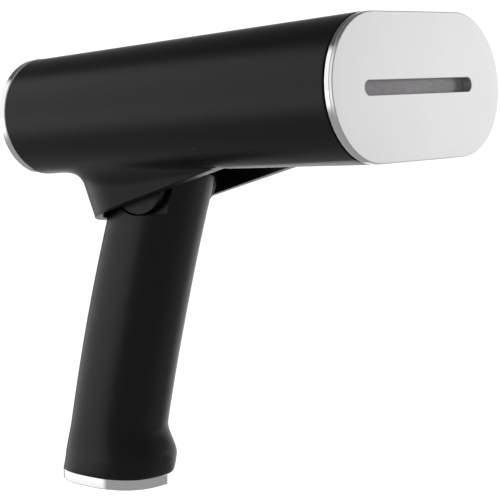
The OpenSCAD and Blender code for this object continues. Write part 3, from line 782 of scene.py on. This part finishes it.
def rear_end(materials):
    """Bright rear ring around the rear cover."""
    outer, inner = REAR_R + REAR_RING_OVER, REAR_R - REAR_RING_IN
    profile = ring_profile(X_REAR - REAR_RING_T, X_REAR, outer, inner, REAR_RING_EDGE)
    ring = head_ring("rear_ring", profile)
    stand_for(ring, "head", "chrome_trim", materials, "rear_trim_ring")


# ---- Grip ----


def smooth(t):
    """A soft step from 0 to 1 as t runs from 0 to 1."""
    u = max(0.0, min(1.0, t))
    return u * u * (3 - 2 * u)


def grip_axis(z):
    """x of the grip's gently curved middle line at a height."""
    return AXIS_FOOT + AXIS_LEAN * z + AXIS_BEND * z * z


def grip_size(z):
    """(centre, half length, half width) of the grip at a height, with its toe and flared foot."""
    toe = smooth((TOE_TOP - z) / TOE_RISE)
    t = max(0.0, min(1.0, (BASE_H + FOOT_ROUND - z) / FOOT_ROUND))
    e = 1 - math.sqrt(1 - t * t)
    centre = (grip_axis(z) + TOE_SHIFT * toe) * (1 - e)
    a = (GRIP_A + TOE_A * toe) * (1 - e) + BASE_A * e
    b = (GRIP_B + TOE_B * toe) * (1 - e) + BASE_B * e
    return centre, a, b


def signed_pow(v, n):
    """A power that keeps the sign of v."""
    return math.copysign(abs(v) ** n, v)


def oval_point(t, a, b):
    """A point of the grip's squared oval; t runs from 0 at the front to 180 at the back."""
    c, s = math.cos(math.radians(t)), math.sin(math.radians(t))
    return a * signed_pow(c, 2 / SQUARENESS), b * signed_pow(s, 2 / SQUARENESS)


def grip_ring(z, inset, side, steps):
    """Half a ring of the grip from front to back, tilted near the top to lie along the head."""
    centre, a, b = grip_size(z)
    slope = math.tan(HEAD_PITCH) * smooth((z - TILT_FROM) / TILT_RISE)
    ring = []
    for i in range(steps + 1):
        x, y = oval_point(180 * i / steps, a - inset, b - inset)
        y = max(0.0, y) if 0 < i < steps else 0.0
        ring.append((centre + x, side * y, z + x * slope))
    return ring


def grip_half(name, side, steps=72):
    """One closed half of the grip: outer skin, inner skin, parting faces and solid top."""
    levels = spaced(BASE_H, FOOT_STEP, FOOT_COUNT) + spaced(SHAFT_FROM, SHAFT_STEP, SHAFT_COUNT)
    levels = [z for z in levels if z < CAVITY_TOP] + [CAVITY_TOP]
    shoulder = GRIP_TOP - GRIP_ROUND
    upper = [z for z in spaced(CAVITY_TOP, NECK_STEP, NECK_COUNT)[1:] if z < shoulder - NECK_GAP]
    outer = [grip_ring(z, SKIN, side, steps) for z in levels + upper + [shoulder]]
    for i in range(1, CROWN_STEPS + 1):
        t = math.radians(90 * i / CROWN_STEPS)
        z = GRIP_TOP - GRIP_ROUND * (1 - math.sin(t))
        outer.append(grip_ring(z, SKIN + GRIP_ROUND * (1 - math.cos(t)), side, steps))
    inner = [grip_ring(z, GRIP_WALL, side, steps) for z in levels]
    n = steps + 1
    verts = [p for ring in outer + inner for p in ring]
    base = len(outer) * n
    faces = []
    for k in range(len(outer) - 1):
        faces += [(k * n + i, k * n + i + 1, (k + 1) * n + i + 1, (k + 1) * n + i) for i in range(steps)]
    for k in range(len(inner) - 1):
        low, high = base + k * n, base + (k + 1) * n
        faces += [(low + i, high + i, high + i + 1, low + i + 1) for i in range(steps)]
        faces += [(k * n + i, (k + 1) * n + i, high + i, low + i) for i in (0, steps)]
    faces += [(i, base + i, base + i + 1, i + 1) for i in range(steps)]
    last = len(inner) - 1
    faces.append(tuple(base + last * n + i for i in range(n)))
    faces.append(tuple((len(outer) - 1) * n + i for i in range(n)))
    front = [k * n for k in range(last, len(outer))]
    back = [k * n + steps for k in range(len(outer) - 1, last - 1, -1)]
    faces.append(tuple(front + back + [base + last * n + steps, base + last * n]))
    return make(name, verts, faces)


def pocket_tool(side, far=60.0):
    """Room for a hinge arm: round behind and below, open above and in front."""
    outline = [(0, -POCKET_R), (far, -POCKET_R), (far, far), (-POCKET_R, far)]
    outline += arc((0, 0), POCKET_R, 180, 270, steps=24)[:-1]
    low, high = sorted((side * POCKET_Y, side * far))
    rings = [[(x, y, z) for x, z in outline] for y in (low, high)]
    return make("pocket_tool", *join_rings(rings), HINGE_FRAME)


def button_frame():
    """Frame on the back of the grip whose z points out of it."""
    out = -BUTTON_PUSH
    lengthwise = Vector((0, 1, 0)).cross(out)
    centre = Vector((grip_axis(BUTTON_Z) - GRIP_A, 0, BUTTON_Z))
    turn = Matrix((lengthwise, Vector((0, 1, 0)), out)).transposed().to_4x4()
    return Matrix.Translation(centre) @ turn


def button_rings(profile):
    """Rings of the steam button's outline from (z, inset) pairs."""
    half = (BUTTON_L - BUTTON_W) / 2
    return [[(x, y, z) for x, y in stadium(BUTTON_W / 2 - inset, half)] for z, inset in profile]


def grip(materials):
    """Both halves of the grip, cut for the hinge arms, the pin, the wires and the steam button."""
    duct_top = HUB_R + DUCT_OVER
    duct_bottom = CAVITY_TOP - DUCT_DOWN - HINGE_FRAME.translation.z
    for side, hand in ((1, "left"), (-1, "right")):
        piece = grip_half(f"grip_half_{hand}", side)
        hub = rod("hub", (0, 0, 0), (0, side, 0), POCKET_Y, HUB_R, HINGE_FRAME, steps=96)
        boolean(piece, "UNION", hub)
        low, high = sorted((-side, side * DUCT_Y))
        duct = box_tool("duct", (-DUCT_X, low, duct_bottom), (DUCT_X, high, duct_top), HINGE_FRAME)
        bore = rod("bore", (0, -side, 0), (0, side, 0), BORE_LENGTH, BORE_R, HINGE_FRAME)
        hole = button_rings([(HOLE_BACK, -KEY_GAP), (HOLE_FRONT, -KEY_GAP)])
        button_hole = make("button_hole", *join_rings(hole), button_frame())
        boolean(piece, "DIFFERENCE", pocket_tool(side), duct, bore, button_hole)
        stand_for(piece, "handle", "body_plastic", materials, f"handle_shell_{hand}")


def hinge_arms(materials):
    """The two hinge arms: a round disc around the pin, a straight neck and a foot under the head."""
    outline = arc((0, 0), ARM_R, 180, 360, steps=48) + [(ARM_R, ARM_TOP), (-ARM_R, ARM_TOP)]
    for side, hand in ((1, "left"), (-1, "right")):
        low, high = sorted((side * ARM_Y, side * (ARM_Y + ARM_T)))
        rings = [[(x, y, z) for x, z in outline] for y in (low, high)]
        arm = make(f"fold_arm_{hand}", *join_rings(rings), HINGE_FRAME)
        bevel(arm, ARM_EDGE)
        even_shading(arm)
        low, high = sorted((side * (ARM_Y + ARM_FOOT_IN), side * (WELL_Y - ARM_FOOT_GAP)))
        foot = box_tool("foot", (-ARM_R, low, ARM_TOP - ARM_FOOT_T), (ARM_R, high, ARM_TOP), HINGE_FRAME)
        boolean(arm, "UNION", foot)
        stand_for(arm, "head", "body_plastic", materials, f"hinge_arm_{hand}")


def base_outline(z, inset, steps=144):
    """The base ring's outline at a height."""
    points = [oval_point(360 * i / steps, BASE_A - inset, BASE_B - inset) for i in range(steps)]
    return [(x, y, z) for x, y in points]


def base(materials):
    """The bright ring at the grip's foot."""
    edge = BASE_EDGE
    corner = [(edge - edge * math.cos(t), edge - edge * math.sin(t)) for t in QUARTER]
    profile = [(0, BASE_RIM)] + corner
    profile += [(BASE_H - z, inset) for z, inset in reversed(corner)] + [(BASE_H, BASE_RIM)]
    rings = [base_outline(z, inset) for z, inset in profile]
    piece = make("base_trim", *join_rings(rings, closed=True))
    even_shading(piece)
    stand_for(piece, "handle", "chrome_trim", materials, "base_ring")


def steam_button(materials):
    """The long steam button on the grip's back, crowned and with three grip lines."""
    edge, top = KEY_EDGE, KEY_TOP
    profile = [(KEY_BACK, 0), (top - edge, 0)]
    profile += [(top - edge + edge * math.sin(t), edge - edge * math.cos(t)) for t in QUARTER[1:]]
    profile.append((top + KEY_CROWN, KEY_CROWN_IN))
    piece = make("steam_key", *join_rings(button_rings(profile)), button_frame())
    for x in GROOVES_AT:
        start = (x, -GROOVE_HALF, top + GROOVE_UP)
        groove = rod("groove", start, (0, 1, 0), 2 * GROOVE_HALF, GROOVE_R, button_frame(), steps=24)
        boolean(piece, "DIFFERENCE", groove)
    bevel(piece, KEY_BEVEL, segments=2, angle=40)
    even_shading(piece)
    stand_for(piece, "steam_button", "button_plastic", materials, "steam_button")


# ---- Stage ----


def camera():
    """Camera at the height, bearing and distance that show the plate, the near side and the grip."""
    azimuth, elevation = math.radians(CAMERA_TURN), math.radians(CAMERA_DIP)
    ahead = math.cos(elevation)
    look = Vector((-math.sin(azimuth) * ahead, math.cos(azimuth) * ahead, -math.sin(elevation)))
    data = bpy.data.cameras.new("camera")
    data.sensor_width = FILM
    data.lens = LENS
    data.clip_start, data.clip_end = CLIP
    cam = bpy.data.objects.new("camera", data)
    cam.location = Vector(CAMERA_AT) * MM
    cam.rotation_mode = "QUATERNION"
    cam.rotation_quaternion = look.to_track_quat("-Z", "Y")
    bpy.context.scene.collection.objects.link(cam)
    bpy.context.scene.camera = cam
    bpy.context.scene.view_settings.view_transform = "Standard"


def toward(tree, direction, bearing, ends, full):
    """0 to 1 as a direction swings towards a bearing, with angles in radians."""
    dot = tree.nodes.new("ShaderNodeVectorMath")
    dot.operation = "DOT_PRODUCT"
    dot.inputs[1].default_value = (math.cos(bearing), math.sin(bearing), 0)
    tree.links.new(direction, dot.inputs[0])
    return map_range(tree, dot.outputs["Value"], math.cos(ends), math.cos(full), 0, 1, "SMOOTHSTEP")


def combine(tree, operation, *values):
    """Two values joined by a math operation."""
    node = tree.nodes.new("ShaderNodeMath")
    node.operation = operation
    for value, socket in zip(values, node.inputs):
        tree.links.new(value, socket)
    return node.outputs["Value"]


def strength(tree, light, direction, reach):
    """Strength of a light in a direction, at the height or distance that reach gives."""
    angles, fade = light
    turned = toward(tree, direction, *(math.radians(a) for a in angles))
    return combine(tree, "MULTIPLY", turned, map_range(tree, reach, *fade, "SMOOTHSTEP"))


def surround():
    """Soft light all round: white behind the object and on its left, dimmer overhead and on the right."""
    world = bpy.data.worlds.new("surround")
    bpy.context.scene.world = world
    world.use_nodes = True
    tree = world.node_tree
    background = next(n for n in tree.nodes if n.type == "BACKGROUND")
    background.inputs["Color"].default_value = (1.0, 1.0, 1.0, 1)
    direction = tree.nodes.new("ShaderNodeTexCoord").outputs["Generated"]
    parts = tree.nodes.new("ShaderNodeSeparateXYZ")
    tree.links.new(direction, parts.inputs["Vector"])
    backdrop, soft_box, overhead = (
        strength(tree, light, direction, parts.outputs["Z"]) for light in (BACKDROP, SOFT_BOX, OVERHEAD)
    )
    lit = map_range(tree, combine(tree, "MAXIMUM", backdrop, soft_box), 0, 1, 0.0, BRIGHTEST)
    ambient = map_range(tree, overhead, 0, 1, AMBIENT, AMBIENT_OVERHEAD)
    tree.links.new(combine(tree, "MAXIMUM", lit, ambient), background.inputs["Strength"])


def vector_math(tree, operation, vector):
    """A node that works on one vector."""
    node = tree.nodes.new("ShaderNodeVectorMath")
    node.operation = operation
    tree.links.new(vector, node.inputs[0])
    return node


def floor():
    """Pale floor with a painted glow: its emission is weak near the object and strong behind it and on its left.
    """
    far = FLOOR_REACH
    corners = [(x, y, FLOOR_Z) for x, y in ((-far, -far), (far, -far), (far, far), (-far, far))]
    mesh = bpy.data.meshes.new("floor")
    mesh.from_pydata(corners, [], [(0, 1, 2, 3)])
    sheet = bpy.data.objects.new("floor", mesh)
    bpy.context.scene.collection.objects.link(sheet)
    material, tree, shader = new_material("floor_painted_glow")
    shade = tint(tree, object_noise(tree, scale=3, detail=2), (0.60, 0.60, 0.60), (0.62, 0.62, 0.62))
    tree.links.new(shade, shader.inputs["Base Color"])
    shader.inputs["Roughness"].default_value = 0.9
    shader.inputs["Specular IOR Level"].default_value = 0.1
    place = tree.nodes.new("ShaderNodeTexCoord")
    flat = vector_math(tree, "MULTIPLY", place.outputs["Object"])
    flat.inputs[1].default_value = (1, 1, 0)
    away = vector_math(tree, "LENGTH", flat.outputs["Vector"]).outputs["Value"]
    direction = vector_math(tree, "NORMALIZE", flat.outputs["Vector"]).outputs["Vector"]
    # painted glow: emission that makes the floor brighter behind the object and on its left, dimmest near it
    behind, left = (strength(tree, light, direction, away) for light in (FLOOR_GLOW_BEHIND, FLOOR_GLOW_LEFT))
    painted_glow = map_range(tree, combine(tree, "MAXIMUM", behind, left), 0, 1, *FLOOR_GLOW)
    shader.inputs["Emission Color"].default_value = (1, 1, 1, 1)
    tree.links.new(painted_glow, shader.inputs["Emission Strength"])
    mesh.materials.append(material)


def carried_over(materials):
    """Gives every CAD node that still shows the material of its slot."""
    slots = {s["node"]: s["material_slot"] for s in frame["record"]["subparts"]}
    for node, piece in frame["nodes"].items():
        piece.data.materials.clear()
        piece.data.materials.append(materials[slots[node]])
        if node in ROUNDED:
            weld = piece.modifiers.new("weld", "WELD")
            weld.merge_threshold = WELD_GAP * MM
            bevel(piece, ROUNDED[node])
            even_shading(piece)


def main():
    """The stage, the kept CAD nodes and the pieces that stand for the others."""
    materials = make_materials()
    camera()
    surround()
    floor()
    carried_over(materials)
    housing(materials)
    front_end(materials)
    rear_end(materials)
    grip(materials)
    hinge_arms(materials)
    base(materials)
    steam_button(materials)


main()
